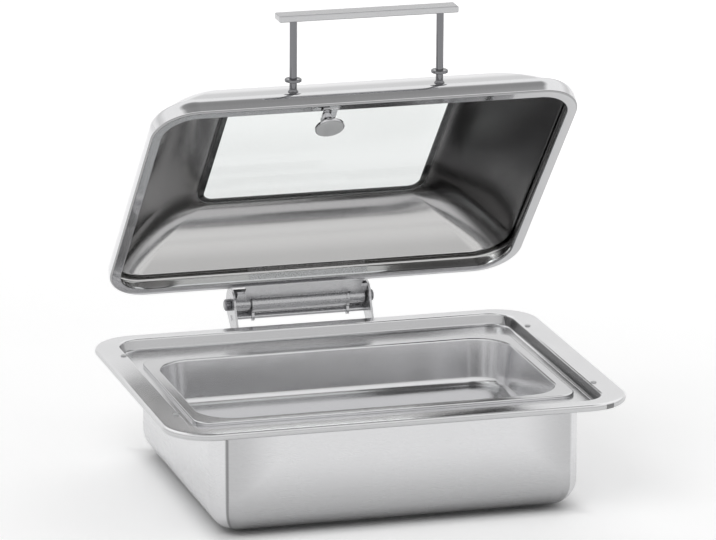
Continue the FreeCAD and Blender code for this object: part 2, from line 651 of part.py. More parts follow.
def lid_hinge_plate():
    arm_end = HINGE_Y - DAMPER_CAP_RADIUS - DAMPER_PLATE_GAP
    leaf = Part.makeBox(2 * HINGE_LEAF_HALF, HINGE_PLATE_SHEET, HINGE_LEAF_HEIGHT,
                        Vector(-HINGE_LEAF_HALF, LID_BACK, HINGE_LEAF_LOW))
    shoulder = arm_end - HINGE_PLATE_INSET
    pieces = [Part.makeBox(2 * HINGE_LEAF_HALF, arm_end - LID_BACK, HINGE_PLATE_SHEET,
                           Vector(-HINGE_LEAF_HALF, LID_BACK, HINGE_ARM_LOW))]
    for x_low in (-KNUCKLE_OUTER, KNUCKLE_INNER):
        pieces.append(hinge_rod(2 * KNUCKLE_RADIUS, x_low, x_low + KNUCKLE_WIDTH))
        pieces.append(Part.makeBox(KNUCKLE_WIDTH, HINGE_Y + TAIL_LENGTH - shoulder, HINGE_PLATE_SHEET,
                                   Vector(x_low, shoulder, HINGE_ARM_LOW)))
    plate = leaf.fuse(pieces).removeSplitter()
    holes = [rod(STUD_DIAMETER, HINGE_PLATE_SHEET, place, Y_AXIS) for place in plate_screw_places()]
    return plate.cut(holes + [hinge_rod(PIN_DIAMETER, -CHEEK_INNER, CHEEK_INNER)])


def lid_backing_plate():
    inner_face = LID_BACK - LID_SHEET
    plate = Part.makeBox(2 * HINGE_LEAF_HALF, BACKING_PLATE_SHEET, HINGE_LEAF_HEIGHT,
                         Vector(-HINGE_LEAF_HALF, inner_face - BACKING_PLATE_SHEET, HINGE_LEAF_LOW))
    return plate.cut([rod(STUD_DIAMETER, BACKING_PLATE_SHEET + LID_SHEET, place, Y_AXIS * -1)
                      for place in plate_screw_places()])


def plate_screw(place):
    bite = LID_SHEET + BACKING_PLATE_SHEET
    shank = rod(STUD_DIAMETER, bite + HINGE_PLATE_SHEET, place - Y_AXIS * bite, Y_AXIS)
    seat = place + Y_AXIS * HINGE_PLATE_SHEET
    crown = seat + Y_AXIS * PLATE_HEAD_HEIGHT
    head = rod(PLATE_HEAD_DIAMETER, PLATE_HEAD_HEIGHT, seat, Y_AXIS)
    rim = [edge for edge in head.Edges if edge.Closed and abs(edge.CenterOfMass.y - crown.y) < SAME]
    head = head.makeFillet(PLATE_HEAD_HEIGHT / 2, rim)
    return shank.fuse(head).cut(rod(PLATE_SOCKET_DIAMETER, PLATE_SOCKET_DEPTH, crown, Y_AXIS * -1))


def cap_face(side):
    return side * (CHEEK_INNER + BRACKET_SHEET + CAP_GAP)


def hinge_pin():
    half = cap_face(1) + PIN_IN_CAP
    return hinge_rod(PIN_DIAMETER, -half, half)


def pin_cap(side):
    start = Vector(cap_face(side), HINGE_Y, HINGE_Z)
    outwards = X_AXIS * side
    cap = rod(CAP_DIAMETER, CAP_LENGTH, start, outwards)
    crown = [edge for edge in cap.Edges
             if edge.Closed and abs(edge.CenterOfMass.x - start.x) > CAP_LENGTH / 2]
    cap = cap.makeFillet(CAP_LENGTH - PIN_IN_CAP, crown)
    return cap.cut(rod(PIN_DIAMETER, PIN_IN_CAP, start, outwards))


def hinge_washer(side):
    start = Vector(side * KNUCKLE_OUTER, HINGE_Y, HINGE_Z)
    return ring(2 * KNUCKLE_RADIUS, PIN_DIAMETER, WASHER_THICKNESS, start, X_AXIS * side)


# Bumper: a cup on a strap under the lid's front lip, with a soft pad that lands on the deck.
BUMPER_Y = LID_FRONT + BUMPER_SETBACK
BUMPER_TOP = LID_BASE - BUMPER_STRAP_SHEET
BUMPER_LOW = DECK_TOP + CLOSED_GAP + BUMPER_PAD_PROUD


def bumper_strap():
    half = BUMPER_STRAP_WIDTH / 2
    start = LID_FRONT + BUMPER_STRAP_START
    strap = Part.makeBox(BUMPER_STRAP_WIDTH, BUMPER_Y - start, BUMPER_STRAP_SHEET,
                         Vector(BUMPER_X - half, start, BUMPER_TOP))
    nose = rod(BUMPER_STRAP_WIDTH, BUMPER_STRAP_SHEET, Vector(BUMPER_X, BUMPER_Y, BUMPER_TOP), Z_AXIS)
    return strap.fuse(nose).removeSplitter()


def bumper_pad():
    low = BUMPER_LOW - BUMPER_PAD_PROUD
    diameter = BUMPER_DIAMETER - 2 * BUMPER_CUP_SHEET
    pad = rod(diameter, BUMPER_PAD_THICKNESS, Vector(BUMPER_X, BUMPER_Y, low), Z_AXIS)
    return pad.makeFillet(BUMPER_PAD_PROUD * 0.8, level_edges(pad, low))


def bumper_cup():
    def at(radius, z):
        return Vector(BUMPER_X + radius, BUMPER_Y, z)

    neck, rim = BUMPER_NECK / 2, BUMPER_DIAMETER / 2
    arc_high, arc_low = BUMPER_TOP - BUMPER_NECK_LENGTH, BUMPER_LOW + BUMPER_SKIRT
    middle = at(neck + (rim - neck) * 0.72, arc_high - (arc_high - arc_low) * 0.3)
    profile = Part.Wire([Part.makeLine(at(0, BUMPER_LOW), at(0, BUMPER_TOP)),
                         Part.makeLine(at(0, BUMPER_TOP), at(neck, BUMPER_TOP)),
                         Part.makeLine(at(neck, BUMPER_TOP), at(neck, arc_high)),
                         Part.Arc(at(neck, arc_high), middle, at(rim, arc_low)).toShape(),
                         Part.makeLine(at(rim, arc_low), at(rim, BUMPER_LOW)),
                         Part.makeLine(at(rim, BUMPER_LOW), at(0, BUMPER_LOW))])
    cup = Part.Face(profile).revolve(at(0, BUMPER_LOW), Z_AXIS, 360)
    return cup.cut(bumper_pad())


os.makedirs("parts", exist_ok=True)

save("body_shell", body_shell())
save("base_core", base_core())
save("base_cap", base_cap())
save("rim_frame", rim_frame())
save("rim_pads", *[rim_pad(side_x, side_y) for side_x in SIDES for side_y in SIDES])
save("food_pan", food_pan())

save("hinge_bracket", hinge_bracket())
save("bracket_studs", *[bracket_stud(place) for place in stud_places()])
save("bracket_nuts", *[bracket_nut(place) for place in stud_places()])
save("hinge_bushes", *[hinge_bush(side) for side in SIDES])
save("damper_barrel", damper_barrel())
save("damper_caps", *[damper_cap(side) for side in SIDES])
save("stop_rod", stop_rod())
save("hinge_cover", hinge_cover())

save_lid("lid_shell", lid_shell())
save_lid("glass_pane", glass_pane())
save_lid("window_gasket", window_gasket())
save_lid("lid_hinge_plate", lid_hinge_plate())
save_lid("lid_backing_plate", lid_backing_plate())
save_lid("hinge_plate_screws", *[plate_screw(place) for place in plate_screw_places()])
save_lid("hinge_pin", hinge_pin())
save_lid("hinge_pin_caps", *[pin_cap(side) for side in SIDES])
save_lid("hinge_washers", *[hinge_washer(side) for side in SIDES])
save_lid("bumper_strap", bumper_strap())
save_lid("bumper_cup", bumper_cup())
save_lid("bumper_pad", bumper_pad())

for side_name, base in zip(("left", "right"), post_places()):
    save_lid("handle_post_" + side_name, handle_post(base))
save_lid("handle_bar", handle_bar())
save_lid("handle_bar_studs", *[bar_stud(base) for base in post_places()])
save_lid("handle_collars", *[handle_collar(base) for base in post_places()])
save_lid("handle_rosettes", *[handle_rosette(base) for base in post_places()])
save_lid("handle_screws", *[handle_screw(base) for base in post_places()])
save_lid("handle_washers", *[handle_washer(base) for base in post_places()])
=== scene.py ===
import math

import bmesh
import bpy
from mathutils import Matrix, Vector


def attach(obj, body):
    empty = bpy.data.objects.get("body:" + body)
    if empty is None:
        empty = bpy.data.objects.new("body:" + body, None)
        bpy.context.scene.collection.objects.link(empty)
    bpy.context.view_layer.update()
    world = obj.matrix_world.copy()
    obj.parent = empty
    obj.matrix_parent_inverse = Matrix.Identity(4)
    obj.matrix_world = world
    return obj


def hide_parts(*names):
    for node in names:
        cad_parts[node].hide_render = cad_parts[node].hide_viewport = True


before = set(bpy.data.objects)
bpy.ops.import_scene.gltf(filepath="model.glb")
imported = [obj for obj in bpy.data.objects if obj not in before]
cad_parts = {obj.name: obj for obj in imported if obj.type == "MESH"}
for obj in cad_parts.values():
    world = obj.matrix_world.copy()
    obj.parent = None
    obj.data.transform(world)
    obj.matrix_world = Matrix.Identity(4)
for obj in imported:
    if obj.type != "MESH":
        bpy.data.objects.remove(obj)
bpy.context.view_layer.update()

# Camera: the dish is seen from the front and a little from the left, slightly above the rim,
# from far away. Angles are in degrees, lengths in metres.
CAMERA_TURN = -15.6
CAMERA_RISE = 14.73
CAMERA_DISTANCE = 7.689
CAMERA_TARGET = Vector((0.002, 0.0, 0.2975))
CAMERA_LENS = 285.0
CAMERA_SENSOR = 36.0
CAMERA_REACH = 60.0
turn, rise = math.radians(CAMERA_TURN), math.radians(CAMERA_RISE)
toward_camera = Vector((math.sin(turn) * math.cos(rise), -math.cos(turn) * math.cos(rise), math.sin(rise)))
camera = bpy.data.objects.new("camera", bpy.data.cameras.new("camera"))
camera.data.lens = CAMERA_LENS
camera.data.sensor_width = CAMERA_SENSOR
camera.data.clip_end = CAMERA_REACH
camera.rotation_mode = "QUATERNION"
camera.location = CAMERA_TARGET + toward_camera * CAMERA_DISTANCE
camera.rotation_quaternion = (-toward_camera).to_track_quat("-Z", "Y")
bpy.context.scene.collection.objects.link(camera)
bpy.context.scene.camera = camera
bpy.context.scene.view_settings.view_transform = "Standard"


# Studio: an even pale room with three softboxes. Polished metal mirrors the room alone, which is white
# near the horizon and falls to a dim ceiling, so that bright steel has its dark bands and doesn't clip.
class Socket:
    """An output of a shader node. Sums, products and comparisons with it add Math nodes, and node()
    adds any other."""

    def __init__(self, tree, link=None):
        self.tree, self.link = tree, link

    def node(self, kind, settings, inputs, output=0):
        made = self.tree.nodes.new("ShaderNode" + kind)
        for name, value in settings.items():
            if name == "stops":
                elements = made.color_ramp.elements
                for index, (place, level) in enumerate(value):
                    stop = elements[index] if index < 2 else elements.new(place)
                    stop.position = place
                    stop.color = (level, level, level, 1.0)
            else:
                setattr(made, name, value)
        for name, value in inputs.items():
            if isinstance(value, Socket):
                self.tree.links.new(value.link, made.inputs[name])
            else:
                made.inputs[name].default_value = value
        return Socket(self.tree, made.outputs[output])

    def feeds(self, shader, name):
        self.tree.links.new(self.link, shader.inputs[name])

    def math(self, operation, *values):
        return self.node("Math", {"operation": operation}, dict(enumerate(values)))

    def __add__(self, other):
        return self.math("ADD", self, other)

    def __sub__(self, other):
        return self.math("SUBTRACT", self, other)

    def __rsub__(self, other):
        return self.math("SUBTRACT", other, self)

    def __mul__(self, other):
        return self.math("MULTIPLY", self, other)

    def __gt__(self, other):
        return self.math("GREATER_THAN", self, other)

    def __lt__(self, other):
        return self.math("LESS_THAN", self, other)

    def __abs__(self):
        return self.math("ABSOLUTE", self)

    __radd__ = __add__
    __rmul__ = __mul__

    def most(self, *others):
        largest = self
        for other in others:
            largest = self.math("MAXIMUM", largest, other)
        return largest

    def ray(self, kind):
        return self.node("LightPath", {}, {}, "Is " + kind + " Ray")

    def along(self, axis):
        return self.node("SeparateXYZ", {}, {0: self}, axis)

    def noise(self, scale, detail, roughness=0.5):
        inputs = {"Vector": self, "Scale": scale, "Detail": detail, "Roughness": roughness}
        return self.node("TexNoise", {}, inputs, "Fac")

    def mixes(self, first, second):
        return self.node("Mix", {"data_type": "RGBA"}, {0: self, 6: first, 7: second}, 2)

    def fade(self, start, end, at_start=0.0, at_end=1.0):
        """Goes smoothly from one level to another while the value goes from start to end."""
        inputs = {"Value": self, "From Min": start, "From Max": end, "To Min": at_start, "To Max": at_end}
        return self.node("MapRange", {"interpolation_type": "SMOOTHSTEP"}, inputs)


WHITE = (1.0, 1.0, 1.0, 1.0)
ROOM_LEVEL = (0.49, 0.49, 0.49, 1.0)
CEILING = [(0.0, 0.30), (0.49, 0.80), (0.51, 1.0), (0.56, 0.95), (0.61, 0.76), (0.66, 0.78), (0.74, 1.0),
           (0.935, 1.0), (0.968, 0.34), (1.0, 0.26)]
SOFTBOX_AIM = Vector((0.0, 0.0, 0.25))

world = bpy.data.worlds.new("studio")
bpy.context.scene.world = world
world.use_nodes = True
room = Socket(world.node_tree)
up = room.node("TexCoord", {}, {}, "Generated").along("Z")
mirrored = room.node("ValToRGB", {"stops": CEILING}, {0: up * 0.5 + 0.5})
lit = room.ray("Glossy").mixes(ROOM_LEVEL, mirrored)
shown = (room.ray("Camera") + room.ray("Transmission")).mixes(lit, WHITE)
shown.feeds(world.node_tree.nodes["Background"], "Color")


def softbox(name, width, depth, power, place):
    """A soft lamp turned to the dish, which neither the camera nor polished metal sees."""
    lamp = bpy.data.lights.new(name, "AREA")
    lamp.shape, lamp.size, lamp.size_y, lamp.energy = "RECTANGLE", width, depth, power
    holder = bpy.data.objects.new(name, lamp)
    holder.location = place
    holder.rotation_mode = "QUATERNION"
    holder.rotation_quaternion = (SOFTBOX_AIM - Vector(place)).to_track_quat("-Z", "Y")
    holder.visible_camera = False
    holder.visible_glossy = False
    bpy.context.scene.collection.objects.link(holder)


softbox("key_softbox", 2.8, 2.4, 36.0, (-1.7, -1.4, 3.0))
softbox("fill_softbox", 1.8, 1.8, 8.0, (2.8, -1.4, 1.8))
softbox("back_softbox", 3.0, 2.0, 28.0, (1.4, 2.5, 2.4))

# Floor: a wide matt sheet, nearly white. It glows a little for the camera, in mirrors and through glass,
# more with distance, so that it fades into the background, but not under the dish, whose shadow it keeps.
FLOOR_SIZE = 60.0
FLOOR_SQUARES = 6
FLOOR_DARK = (0.93, 0.93, 0.93, 1.0)
FLOOR_LIGHT = (0.96, 0.96, 0.96, 1.0)
FLOOR_MOTTLE = 5.0
FLOOR_ROUGHNESS = 0.8
FLOOR_GLOSS = 0.1
GLOW_NEAR, GLOW_FAR = 0.23, 0.42
GLOW_FROM, GLOW_TO = 0.7, 4.0
FOOTPRINT = (0.255, 0.223)
FOOTPRINT_INSIDE, FOOTPRINT_OUTSIDE = 0.92, 1.08


def plain_material(name):
    """A new material, the place on the piece that its patterns read, and its shader."""
    material = bpy.data.materials.new(name)
    material.use_nodes = True
    place = Socket(material.node_tree).node("TexCoord", {}, {}, "Object")
    return material, place, material.node_tree.nodes["Principled BSDF"]


floor_mesh = bmesh.new()
bmesh.ops.create_grid(floor_mesh, x_segments=FLOOR_SQUARES, y_segments=FLOOR_SQUARES, size=FLOOR_SIZE / 2)
floor_data = bpy.data.meshes.new("floor")
floor_mesh.to_mesh(floor_data)
floor_mesh.free()
floor = bpy.data.objects.new("floor", floor_data)
bpy.context.scene.collection.objects.link(floor)
floor_paint, place, shader = plain_material("pale_floor")
place.noise(FLOOR_MOTTLE, detail=3.0).mixes(FLOOR_DARK, FLOOR_LIGHT).feeds(shader, "Base Color")
reach = place.node("VectorMath", {"operation": "LENGTH"}, {0: place}, "Value")
across, back = [abs(place.along(axis)) * (1 / half) for axis, half in zip("XY", FOOTPRINT)]
seen = place.ray("Camera") + place.ray("Glossy") + place.ray("Transmission")
glow = reach.fade(GLOW_FROM, GLOW_TO, GLOW_NEAR, GLOW_FAR) * seen
glow = glow * across.most(back).fade(FOOTPRINT_INSIDE, FOOTPRINT_OUTSIDE)
glow.node("CombineColor", {}, {"Red": glow, "Green": glow, "Blue": glow}).feeds(shader, "Emission Color")
shader.inputs["Roughness"].default_value = FLOOR_ROUGHNESS
shader.inputs["Specular IOR Level"].default_value = FLOOR_GLOSS
shader.inputs["Emission Strength"].default_value = 1.0
floor_data.materials.append(floor_paint)

# Body: one deep-drawn shell of satin stainless steel. Its lower edge is drawn to a wide radius and
# its open top is welded under the rim frame's deck.
SHEET = 0.0012
CORNER_STEPS = 20
MERGE_DISTANCE = 1e-6
TIE_BREAK = 1e-4
SHARP_ANGLE = math.radians(38)
EDGE_STEPS = 2
BODY_WIDTH = 0.510
BODY_DEPTH = 0.446
BODY_CORNER = 0.040
BODY_LOW = 0.005
BODY_TOP = 0.1408
BODY_FOOT_RADIUS = 0.036
FOOT_STEPS = 16


def ring(mesh, width, depth, radius, height, middle=0.0):
    """Edges of a rounded rectangle, a square whose corners are rounded off."""
    corners = bmesh.ops.create_grid(mesh, x_segments=1, y_segments=1, size=0.5)["verts"]
    bmesh.ops.scale(mesh, vec=(width, depth, 1.0), verts=corners)
    bmesh.ops.translate(mesh, vec=(0.0, middle, height), verts=corners)
    rounded = bmesh.ops.bevel(mesh, geom=corners, offset=radius, offset_type="OFFSET", segments=CORNER_STEPS,
                              profile=0.5, affect="VERTICES", material=-1)
    face = rounded["verts"][0].link_faces[0]
    edges = list(face.edges)
    bmesh.ops.delete(mesh, geom=[face], context="FACES_ONLY")
    return edges


def skin(mesh, sections):
    """Wall drawn through a row of rounded rectangles; gives back its last ring."""
    for low, high in zip(sections, sections[1:]):
        pair = ring(mesh, *low), ring(mesh, *high)
        bmesh.ops.bridge_loops(mesh, edges=pair[0] + pair[1])
    return pair[1]


def set_in(size, outline, inset=0.0, level=0.0):
    """Rounded rectangles of one width, depth and corner, each set in from there and raised from the
    level as a point (inset, height) of the outline says."""
    width, depth, corner = size
    sections = []
    for further, height in outline:
        step = inset + further
        sections.append((width - 2 * step, depth - 2 * step, corner - step, level + height))
    return sections


def bend(inset, height, radius, start, end, steps):
    """Points (inset, height) along a bend about a centre; angles in degrees from straight outwards."""
    points = []
    for step in range(steps + 1):
        angle = math.radians(start + (end - start) * step / steps)
        points.append((inset - radius * math.cos(angle), height + radius * math.sin(angle)))
    return points


def make(name, mesh, facing, sheet=0.0, edge=0.0003):
    """Mesh to object. The face that lies furthest along facing looks that way; a skin gets its thickness
    behind it, and sharp edges are broken."""
    bmesh.ops.remove_doubles(mesh, verts=mesh.verts, dist=MERGE_DISTANCE)
    bmesh.ops.recalc_face_normals(mesh, faces=mesh.faces)
    mesh.normal_update()
    facing = Vector(facing)

    def far_out(face):
        return face.calc_center_median().dot(facing) + TIE_BREAK * abs(face.normal.dot(facing))

    if max(mesh.faces, key=far_out).normal.dot(facing) < 0:
        bmesh.ops.reverse_faces(mesh, faces=mesh.faces)
    for face in mesh.faces:
        face.smooth = True
    data = bpy.data.meshes.new(name)
    mesh.to_mesh(data)
    mesh.free()
    piece = bpy.data.objects.new(name, data)
    bpy.context.scene.collection.objects.link(piece)
    if sheet:
        solidify = piece.modifiers.new("sheet", "SOLIDIFY")
        solidify.thickness, solidify.offset, solidify.use_even_offset = sheet, -1.0, True
    if edge:
        bevel = piece.modifiers.new("edges", "BEVEL")
        bevel.limit_method, bevel.angle_limit = "ANGLE", SHARP_ANGLE
        bevel.width, bevel.segments = edge, EDGE_STEPS
    piece.modifiers.new("normals", "WEIGHTED_NORMAL")
    return piece


body_mesh = bmesh.new()
body_foot = bend(BODY_FOOT_RADIUS, BODY_LOW + BODY_FOOT_RADIUS, BODY_FOOT_RADIUS, 0, -90, FOOT_STEPS)
foot_ring = skin(body_mesh, set_in((BODY_WIDTH, BODY_DEPTH, BODY_CORNER), [(0.0, BODY_TOP)] + body_foot))
bmesh.ops.contextual_create(body_mesh, geom=foot_ring)
body = make("drawn_body", body_mesh, (0, 0, -1), sheet=SHEET)

MEAN = 0.5
GRAIN_DARK, GRAIN_LIGHT = 0.93, 1.05
GRAIN_SHARE = 0.6
GRAIN_RELIEF = 0.00002
GRAIN_ROUGHENS, HAZE_ROUGHENS = 0.45, 0.35
HAZE_SCALE = 16.0
SWELL_SCALE = 7.0
SWELL_RELIEF = 0.001


def times(colour, level):
    return tuple(min(part * level, 1.0) for part in colour) + (1.0,)


def surface(shader, tone, rough, relief):
    """Gives a shader its colour, its roughness and its relief in metres."""
    tone.feeds(shader, "Base Color")
    rough.feeds(shader, "Roughness")
    relief.node("Bump", {}, {"Height": relief, "Distance": 1.0, "Strength": 1.0}).feeds(shader, "Normal")


def steel(name, colour, roughness, grain, depth=0.15, wave=0.0, tilt=0.0, shade=None, deepest=0.0):
    """Stainless steel. Grain is how often its fine lines repeat per metre along X, Y and Z, wave is how
    far the sheet is from flat, tilt turns the grain with a piece that is stored open, and shade gives
    how much painted shade darkens the colour at each place, from 0 to 1, where it is at its deepest."""
    material, place, shader = plain_material(name)
    turned = place.node("Mapping", {}, {"Vector": place, "Rotation": (tilt, 0.0, 0.0)})
    stretched = turned.node("VectorMath", {"operation": "MULTIPLY"}, {0: turned, 1: grain})
    lines = stretched.noise(1.0, detail=4.0, roughness=0.65)
    haze = turned.noise(HAZE_SCALE, detail=3.0)
    swell = turned.noise(SWELL_SCALE, detail=1.0)
    mottle = lines * GRAIN_SHARE + haze * (1 - GRAIN_SHARE)
    tone = mottle.mixes(times(colour, GRAIN_DARK), times(colour, GRAIN_LIGHT))
    # Painted shade: where shade says, the colour is darkened toward deepest, in place of shade and dark
    # reflections.
    if shade:
        tone = shade(place).mixes(tone, times(colour, deepest))
    rough = (lines - MEAN) * (roughness * GRAIN_ROUGHENS) + (haze - MEAN) * (roughness * HAZE_ROUGHENS)
    surface(shader, tone, rough + roughness, lines * (GRAIN_RELIEF * depth) + swell * (SWELL_RELIEF * wave))
    shader.inputs["Metallic"].default_value = 1.0
    return material


# Painted shade on the body: where its dark corner lines, darker front ends, darker foot and darker lowest
# edge lie.
PAINTED_LINE_ANGLE = math.radians(34)
PAINTED_CORNER_LINE = 0.0008, 0.0040, 0.85, 0.0
RIGHT_PAINTED_LINE_SHARE = 0.2
FLANK_SHADE = -0.055, 0.020, 0.0, 0.36
FOOT_SHADE = 0.008, 0.112, 0.64, 0.0
FOOT_SIDE_SHARE = 0.25
UNDER_SHADE = 0.008, 0.016, 0.8, 0.0


def body_shade(place):
    """Painted shade in the satin's colour: darker over the bend of the foot, as the floor's shade would be
    mirrored there, darker still along its lowest edge, at the ends of the front, and most of all in a painted
    dark line down each upright corner, the left ones strongest."""
    across, level = place.along("X"), place.along("Z")
    past_side = abs(across) - (BODY_WIDTH / 2 - BODY_CORNER)
    past_front = abs(place.along("Y")) - (BODY_DEPTH / 2 - BODY_CORNER)
    past_painted_line = past_side * math.cos(PAINTED_LINE_ANGLE) - past_front * math.sin(PAINTED_LINE_ANGLE)
    painted_line = abs(past_painted_line).fade(*PAINTED_CORNER_LINE) * (past_side > 0.0) * (past_front > 0.0)
    painted_line = painted_line * (1 - (1 - RIGHT_PAINTED_LINE_SHARE) * (across > 0.0))
    flank = past_side.fade(*FLANK_SHADE) * (past_front > 0.0) * (past_painted_line < 0.0)
    foot = level.fade(*FOOT_SHADE) * (1 - (1 - FOOT_SIDE_SHARE) * (past_painted_line > 0.0))
    return painted_line.most(flank, foot, level.fade(*UNDER_SHADE))


satin_steel = steel("satin_steel", (0.74, 0.74, 0.75), roughness=0.27, grain=(9.0, 9.0, 2400.0),
                    shade=body_shade, deepest=0.25)
body.data.materials.append(satin_steel)
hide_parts("body_shell")
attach(body, "base")

# Rim frame: one wide pressed sheet, polished bright. Its outer edge is rolled down and back, a flat
# land runs inside it, and a recess with sloping walls leads to the deck that the food pan stands on.
RIM_SIZE = 0.640, 0.510, 0.064
RIM_TOP = 0.158
RIM_EDGE = 0.010
RIM_ROLL = 0.0046
RIM_RETURN = 0.006
RIM_LAND = 0.014
ROLL_STEPS = 6
WELL_SIZE = 0.570, 0.462, 0.036
WELL_SLOPE = 0.005
WELL_BROW = [(-0.0022, 0.0), (-0.0010, -0.0003), (-0.0001, -0.0010), (0.0006, -0.0022)]
WELL_FOOT = [(-0.0012, 0.0034), (-0.0004, 0.0016), (0.0007, 0.0006), (0.0026, 0.0)]
DECK_TOP = 0.142
SEAT_SIZE = 0.5052, 0.3002, 0.052
SEAT_BROW = [(-0.0016, 0.0), (-0.0006, -0.0003), (0.0, -0.0012), (0.0, -0.006)]

rim_low = RIM_TOP - RIM_EDGE
rim_outline = [(RIM_RETURN, rim_low)]
rim_outline += bend(RIM_ROLL, rim_low + RIM_ROLL, RIM_ROLL, -90, 0, ROLL_STEPS)
rim_outline += bend(RIM_ROLL, RIM_TOP - RIM_ROLL, RIM_ROLL, 0, 90, ROLL_STEPS)
rim_outline += [(RIM_LAND, RIM_TOP)]
sections = set_in(RIM_SIZE, rim_outline) + set_in(WELL_SIZE, WELL_BROW, level=RIM_TOP)
sections += set_in(WELL_SIZE, WELL_FOOT, inset=WELL_SLOPE, level=DECK_TOP)
sections += set_in(SEAT_SIZE, SEAT_BROW, level=DECK_TOP)
rim_mesh = bmesh.new()
skin(rim_mesh, sections)
rim = make("rim_sheet", rim_mesh, (0, 0, 1), sheet=SHEET)

# Painted shade on the rim: its rolled edge and the recess's walls are painted darker, the right wall most.
WALL_SHADE_LOW = DECK_TOP + 0.0006, DECK_TOP + 0.0022
WALL_SHADE_HIGH = RIM_TOP - 0.0032, RIM_TOP - 0.0010, 1.0, 0.0
RIGHT_WALL = WELL_SIZE[0] / 2 - WELL_SLOPE / 2
RIGHT_WALL_REACH = 0.006
WALL_SHADE, RIGHT_WALL_SHADE = 0.40, 0.55


def rim_shade(place):
    """Painted shade in the sheet's colour: the flats stay bright, while its rolled edge and the recess's
    walls are painted darker, the right wall most, for the shade and dark reflections those walls would show."""
    level, across = place.along("Z"), place.along("X")
    on_wall = level.fade(*WALL_SHADE_LOW) * level.fade(*WALL_SHADE_HIGH)
    at_right = across.math("COMPARE", across, RIGHT_WALL, RIGHT_WALL_REACH)
    return on_wall * (at_right * RIGHT_WALL_SHADE + WALL_SHADE)


polished_steel = steel("polished_steel", (0.86, 0.86, 0.87), roughness=0.21, grain=(600.0, 600.0, 60.0),
                       depth=0.05, wave=0.12, shade=rim_shade, deepest=0.2)
rim.data.materials.append(polished_steel)
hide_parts("rim_frame")
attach(rim, "base")

# Food pan: a full-size catering pan, drawn from one sheet of bright steel. Its flange is rolled at the
# edge and stands on the deck, so that a hand can lift the pan out.
PAN_SIZE = 0.530, 0.325, 0.024
PAN_TOP = 0.147
PAN_SEAT_GAP = 0.0001
PAN_ROLL = 0.0022
PAN_ROLL_STEPS = 5
PAN_SHEET = 0.0009
BOWL_SIZE = 0.5002, 0.2952, 0.0511
BOWL_BROW = [(-0.0024, 0.0), (-0.0012, -0.0003), (-0.0002, -0.0012), (0.0003, -0.0026)]
BOWL_TAPER = 0.007
BOWL_DRAFT = 8
BOWL_FLOOR = 0.0829
BOWL_FOOT_RADIUS = 0.0131
BOWL_FOOT_STEPS = 8

flange_outline = [(0.0, DECK_TOP + PAN_SEAT_GAP)]
flange_outline += bend(PAN_ROLL, PAN_TOP - PAN_ROLL, PAN_ROLL, 0, 90, PAN_ROLL_STEPS)
bowl_bend = BOWL_FLOOR + BOWL_FOOT_RADIUS
bowl_outline = [(BOWL_TAPER, bowl_bend)]
bowl_outline += bend(BOWL_TAPER + BOWL_FOOT_RADIUS, bowl_bend, BOWL_FOOT_RADIUS, -BOWL_DRAFT, -90,
                     BOWL_FOOT_STEPS)
sections = set_in(PAN_SIZE, flange_outline) + set_in(BOWL_SIZE, BOWL_BROW, level=PAN_TOP)
sections += set_in(BOWL_SIZE, bowl_outline)
pan_mesh = bmesh.new()
floor_ring = skin(pan_mesh, sections)
bmesh.ops.contextual_create(pan_mesh, geom=floor_ring)
pan = make("gastro_pan", pan_mesh, (0, 0, 1), sheet=PAN_SHEET)
pan_steel = steel("pan_steel", (0.74, 0.74, 0.75), roughness=0.20, grain=(700.0, 40.0, 700.0), depth=0.08,
                  wave=0.05)
pan.data.materials.append(pan_steel)
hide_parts("food_pan")
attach(pan, "pan")

# Lid shell: drawn from one sheet, polished bright outside and plainer inside. A tall rim with a hemmed
# lip carries a dome that swells in one sweep to a flat top, which is cut out for the window. It is drawn
# shut and stored open.
OPEN_ANGLE = math.radians(45.5)
HINGE = Vector((0.0, 0.304, 0.177))
OPEN = Matrix.Translation(HINGE) @ Matrix.Rotation(-OPEN_ANGLE, 4, "X") @ Matrix.Translation(-HINGE)
LID_WIDTH = 0.593
LID_FRONT = -0.237
LID_BACK = 0.231
LID_BASE = 0.1595
LID_CORNER = 0.060
LID_SHEET = 0.001
LID_RIM = 0.027
LID_LIP = 0.015
LID_HEM = [(0.0, 0.005), (0.0, 0.0015), (-0.0004, 0.0004), (-0.0015, 0.0)]
LIP_RADIUS = 0.003
LIP_STEPS = 6
SHOULDER_DROP = 0.018
SHOULDER_RUN = 0.0092
SHOULDER_STEPS = 12
BACK_SHOULDER = 0.006
DOME_ROOT = [(0.0098, 0.0003), (0.0106, 0.0010)]
DOME_START = 0.012
DOME_LAND = 0.010
DOME_TOP = 0.095
DOME_RUN = 0.118
DOME_BACK_RUN = 0.075
DOME_LOW_CORNER = 0.050
DOME_TOP_CORNER = 0.036
DOME_STEPS = 22
WINDOW_SIDE = 0.013
WINDOW_END = 0.010
WINDOW_CORNER = 0.016
WINDOW_BORDER = 0.001


def dome_rise(share):
    """Height above the rim part of the way in; it follows a parabola to the flat top."""
    return (DOME_TOP - LID_RIM) * (1 - (1 - share) ** 2)


def lid_ring(inset, height, back_inset=None):
    front, back = LID_FRONT + inset, LID_BACK - (inset if back_inset is None else back_inset)
    return LID_WIDTH - 2 * inset, back - front, LID_CORNER - inset, LID_BASE + height, (front + back) / 2


def dome_ring(share):
    side = DOME_LAND + share * DOME_RUN
    front = LID_FRONT + side
    back = LID_BACK - DOME_LAND - share * DOME_BACK_RUN
    corner = DOME_LOW_CORNER + share * (DOME_TOP_CORNER - DOME_LOW_CORNER)
    height = LID_BASE + LID_RIM + dome_rise(share)
    return LID_WIDTH - 2 * side, back - front, corner, height, (front + back) / 2


def window_ring(border):
    """Outline on the flat top, a border's width outside the window's edge."""
    width, depth, _, height, middle = dome_ring(1.0)
    width, depth = width - 2 * (WINDOW_SIDE - border), depth - 2 * (WINDOW_END - border)
    return width, depth, WINDOW_CORNER + border, height, middle


